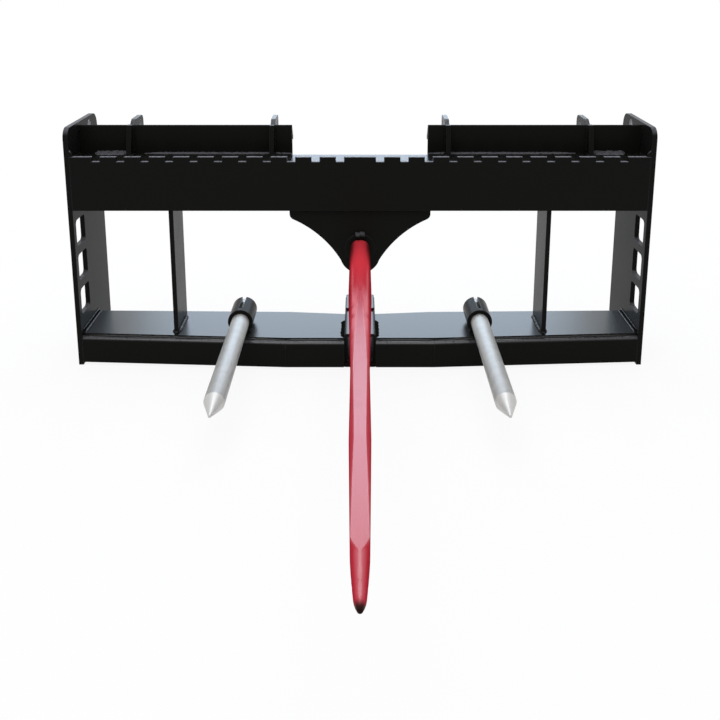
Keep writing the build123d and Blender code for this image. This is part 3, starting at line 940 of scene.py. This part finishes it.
def lay_hub_beads(material, settings, draw):
    """Makes the beads over the two hub plates and round both ends of the bushing."""
    hub_low, hub_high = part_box("hub_plate")
    rear_low, rear_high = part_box("hub_rear_plate")
    front_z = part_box("upper_front_plate")[0].z
    shelf_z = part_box("shelf_plate")[0].z
    axis_z, radius = bushing_ring()
    front_run = along_x(hub_low.x + BEAD_STOP, hub_high.x - BEAD_STOP, hub_low.y, front_z)
    rear_run = along_x(rear_low.x, rear_high.x, rear_low.y, shelf_z)
    rear_end = Vector((0, rear_high.y, axis_z))
    front_end = Vector((0, hub_low.y, axis_z))
    shape = bmesh.new()
    add_bead(shape, Seam(front_run, (DOWN, FORWARD), legs=(0.9, 0.9)), settings, draw)
    add_bead(shape, Seam(rear_run, (DOWN, FORWARD)), settings, draw)
    add_ring_bead(shape, rear_end, radius, BACK, settings.leg, settings, draw)
    add_ring_bead(shape, front_end, radius, FORWARD, FRONT_RING_LEG * settings.leg, settings, draw)
    add_piece("weld_beads_hub", shape, material)


def seat_seams():
    """Short bead on the bushing's face over the spear's root."""
    axis_z, radius = bushing_ring()
    face_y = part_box("spear_bushing")[0].y
    run = along_x(-SEAT_HALF, SEAT_HALF, face_y, axis_z + radius - SEAT_DROP)
    return [Seam(run, (UP, FORWARD), legs=(1.9, 1.9))]


SIDE_BEADS = (
    ("weld_beads", common_seams, "plain"),
    ("cover_end_bead", cover_end_seams, "dull"),
    # Toe beads in lighter paint: painted highlights along the toes
    ("cover_toe_beads", cover_toe_seams, "dusty"),
    ("receiver_beads", receiver_seams, "dull"),
    ("shelf_beads", shelf_seams, "scuffed"),
    ("cover_beads", cover_edge_seams, "glossy"),
)


def add_camera(scene, settings):
    """The camera at the photograph's angle, with its frame shifted."""
    lens = bpy.data.cameras.new("camera")
    lens.lens = settings.lens
    lens.sensor_width = SENSOR_WIDTH
    lens.shift_y = settings.frame_shift
    camera = bpy.data.objects.new("camera", lens)
    camera.location = settings.camera_place
    camera.rotation_euler = (math.pi / 2 - settings.pitch, 0, 0)
    scene.collection.objects.link(camera)
    scene.camera = camera


def add_floor(scene, settings):
    """A pale floor that keeps the shadow and fades to white away from the object."""
    half = settings.floor_size / 2
    corners = [(-half, -half, 0), (half, -half, 0), (half, half, 0), (-half, half, 0)]
    floor_mesh = bpy.data.meshes.new("floor")
    floor_mesh.from_pydata(corners, [], [(0, 1, 2, 3)])
    floor = bpy.data.objects.new("floor", floor_mesh)
    scene.collection.objects.link(floor)
    made, tree = new_material("pale_floor")
    floor_mesh.materials.append(made)
    away = tree.length(tree.place())
    lift = settings.floor_lift + (1 - settings.floor_lift) * away.above(*FLOOR_FADE)
    dull = tree.node("ShaderNodeBsdfDiffuse", None, {"Color": opaque(settings.floor_colour)})
    white = tree.node("ShaderNodeEmission", None, {"Strength": 1.0})
    mixed = tree.node("ShaderNodeMixShader", None, {0: seen_rays(tree) * lift, 1: dull[0], 2: white[0]})
    tree.node("ShaderNodeOutputMaterial", None, {"Surface": mixed[0]})


def add_room(scene, settings):
    """Even light from all round, and a white background."""
    world = bpy.data.worlds.new("studio")
    world.use_nodes = True
    scene.world = world
    tree = Tree(world.node_tree)
    room = tree.node("ShaderNodeBackground", None, {"Strength": settings.room_light})
    white = tree.node("ShaderNodeBackground", None, {"Color": WHITE, "Strength": 1.0})
    mixed = tree.node("ShaderNodeMixShader", None, {0: seen_rays(tree), 1: room[0], 2: white[0]})
    tree.node("ShaderNodeOutputWorld", None, {"Surface": mixed[0]})


def add_lamp(scene, name, power, look):
    """One wide lamp, unseen by the camera."""
    light = bpy.data.lights.new(name, "AREA")
    light.shape = "RECTANGLE"
    light.size, light.size_y = look["size"]
    light.energy = power
    light.color = look["colour"]
    lamp = bpy.data.objects.new(name, light)
    lamp.location = look["place"]
    beam = Vector(look["aim"]) - Vector(look["place"])
    lamp.rotation_euler = beam.to_track_quat("-Z", "Y").to_euler()
    lamp.visible_camera = False
    scene.collection.objects.link(lamp)


class SPEAR_OT_stage(bpy.types.Operator):
    """Make the camera, the pale floor and the lamps"""

    bl_idname = "bale_spear.stage"
    bl_label = "Stage"

    def execute(self, context):
        scene = context.scene
        settings = scene.spear_stage
        scene.view_settings.view_transform = "Standard"
        add_camera(scene, settings)
        add_floor(scene, settings)
        add_room(scene, settings)
        for name, look in LAMPS.items():
            add_lamp(scene, f"{name}_lamp", getattr(settings, f"{name}_power"), look)
        return {"FINISHED"}


class SPEAR_OT_frame_paint(bpy.types.Operator):
    """Paint the welded frame black"""

    bl_idname = "bale_spear.frame_paint"
    bl_label = "Frame paint"

    def execute(self, context):
        settings = context.scene.spear_finish
        other = {*RED_NODES, *ZINC_NODES, *HARDWARE_NODES}
        black = sorted(set(frame["nodes"]) - other)
        plain = [node for node in black if not node.startswith(tuple(FRAME_FINISHES))]
        dress(plain, black_paint(settings, "frame_black_paint"))
        for stem, finish in FRAME_FINISHES.items():
            nodes = [node for node in black if node.startswith(stem)]
            limits = {}
            if stem in COATED_AT_TOP:
                limits["coat_floor"] = max(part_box(node)[1].z for node in nodes) - TOP_REACH
            # The shelf's painted highlight stays between the hook plates, which shade the shelf elsewhere
            if stem == "shelf_plate":
                limits["wear_span"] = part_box("hook_plate_right")[0].x
            dress(nodes, black_paint(settings, **finish, **limits))
        return {"FINISHED"}


class SPEAR_OT_spear_paint(bpy.types.Operator):
    """Paint the main spear red, with a bare point"""

    bl_idname = "bale_spear.spear_paint"
    bl_label = "Spear paint"

    def execute(self, context):
        point_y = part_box("main_spear")[0].y
        bush_low, bush_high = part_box("spear_bushing")
        dress(RED_NODES, red_paint(context.scene.spear_finish, point_y, bush_low.y, bush_high.y))
        return {"FINISHED"}


class SPEAR_OT_zinc(bpy.types.Operator):
    """Plate the stabilisers, their pins and the spear's nut and washer"""

    bl_idname = "bale_spear.zinc"
    bl_label = "Zinc plating"

    def execute(self, context):
        settings = context.scene.spear_finish
        rod_low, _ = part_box("stabiliser_left")
        socket_low, socket_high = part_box("stabiliser_socket_left")
        spans = (
            # Lighter zinc over the stabiliser's point
            (rod_low.y, rod_low.y + settings.point_length, settings.lighter_point_zinc),
            # Darker zinc over the stretch of rod inside the socket
            (socket_low.y, socket_high.y - INNER_SOCKET_STOP, settings.inner_socket_zinc),
        )
        dress(ZINC_NODES, zinc_plate(settings, "stabiliser_zinc", tone=1.0, roughness=0.5, spans=spans))
        dress(HARDWARE_NODES, zinc_plate(settings, "nut_zinc", tone=0.9, roughness=0.4))
        return {"FINISHED"}


class SPEAR_OT_welds(bpy.types.Operator):
    """Lay the weld beads along the frame's seams"""

    bl_idname = "bale_spear.welds"
    bl_label = "Weld beads"

    def execute(self, context):
        settings = context.scene.spear_weld
        finish = context.scene.spear_finish
        paints = {key: black_paint(finish, **look) for key, look in WELD_FINISHES.items()}
        paints["glossy"] = bpy.data.materials[FRAME_FINISHES["beam_cover"]["name"]]
        draw = random.Random(BEAD_SEED)
        for side_name, outer in SIDES.items():
            side = Side(side_name, outer, settings.leg)
            for stem, seams_of, paint in SIDE_BEADS:
                lay_beads(f"{stem}_{side_name}", seams_of(side), paints[paint], settings, draw)
        lay_hub_beads(paints["plain"], settings, draw)
        # The seat bead's lighter top is a painted highlight over the spear's root
        lay_beads("seat_bead", seat_seams(), paints["rubbed"], settings, draw)
        return {"FINISHED"}


class SPEAR_OT_receiver_sill(bpy.types.Operator):
    """Close the beam's front under the receiver's bore, in the paint of the dull welds"""

    bl_idname = "bale_spear.receiver_sill"
    bl_label = "Receiver sill"

    def execute(self, context):
        beam_low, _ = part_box("beam_front_centre_right")
        tube_low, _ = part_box("receiver_tube")
        low = Vector((-beam_low.x, beam_low.y, beam_low.z))
        high = Vector((beam_low.x, tube_low.y, tube_low.z + TUBE_WALL))
        shape = bmesh.new()
        bmesh.ops.create_cube(shape, size=1.0)
        for corner in shape.verts:
            corner.co = (low + high) / 2 + corner.co * (high - low)
        bmesh.ops.bevel(shape, geom=shape.edges[:], offset=SILL_BEVEL, segments=2, affect="EDGES")
        add_piece("receiver_sill", shape, bpy.data.materials[WELD_FINISHES["dull"]["name"]])
        return {"FINISHED"}


class SPEAR_PT_panel(bpy.types.Panel):
    """Lists the bale spear's operators"""

    bl_idname = "SPEAR_PT_panel"
    bl_label = "Bale spear"
    bl_space_type = "VIEW_3D"
    bl_region_type = "UI"
    bl_category = "Bale spear"

    def draw(self, context):
        for operator in OPERATORS:
            self.layout.operator(operator.bl_idname)


OPERATORS = (
    SPEAR_OT_stage,
    SPEAR_OT_frame_paint,
    SPEAR_OT_spear_paint,
    SPEAR_OT_zinc,
    SPEAR_OT_welds,
    SPEAR_OT_receiver_sill,
)
SETTINGS = {
    "spear_stage": SpearStageSettings,
    "spear_finish": SpearFinishSettings,
    "spear_weld": SpearWeldSettings,
}


def register():
    for group in SETTINGS.values():
        bpy.utils.register_class(group)
    for shown in (*OPERATORS, SPEAR_PT_panel):
        bpy.utils.register_class(shown)
    for name, group in SETTINGS.items():
        setattr(bpy.types.Scene, name, bpy.props.PointerProperty(type=group))


def unregister():
    for name in SETTINGS:
        delattr(bpy.types.Scene, name)
    for shown in (SPEAR_PT_panel, *reversed(OPERATORS)):
        bpy.utils.unregister_class(shown)
    for group in SETTINGS.values():
        bpy.utils.unregister_class(group)


def main():
    register()
    bpy.ops.bale_spear.stage()
    bpy.ops.bale_spear.frame_paint()
    bpy.ops.bale_spear.spear_paint()
    bpy.ops.bale_spear.zinc()
    bpy.ops.bale_spear.welds()
    bpy.ops.bale_spear.receiver_sill()


if __name__ == "__main__":
    main()
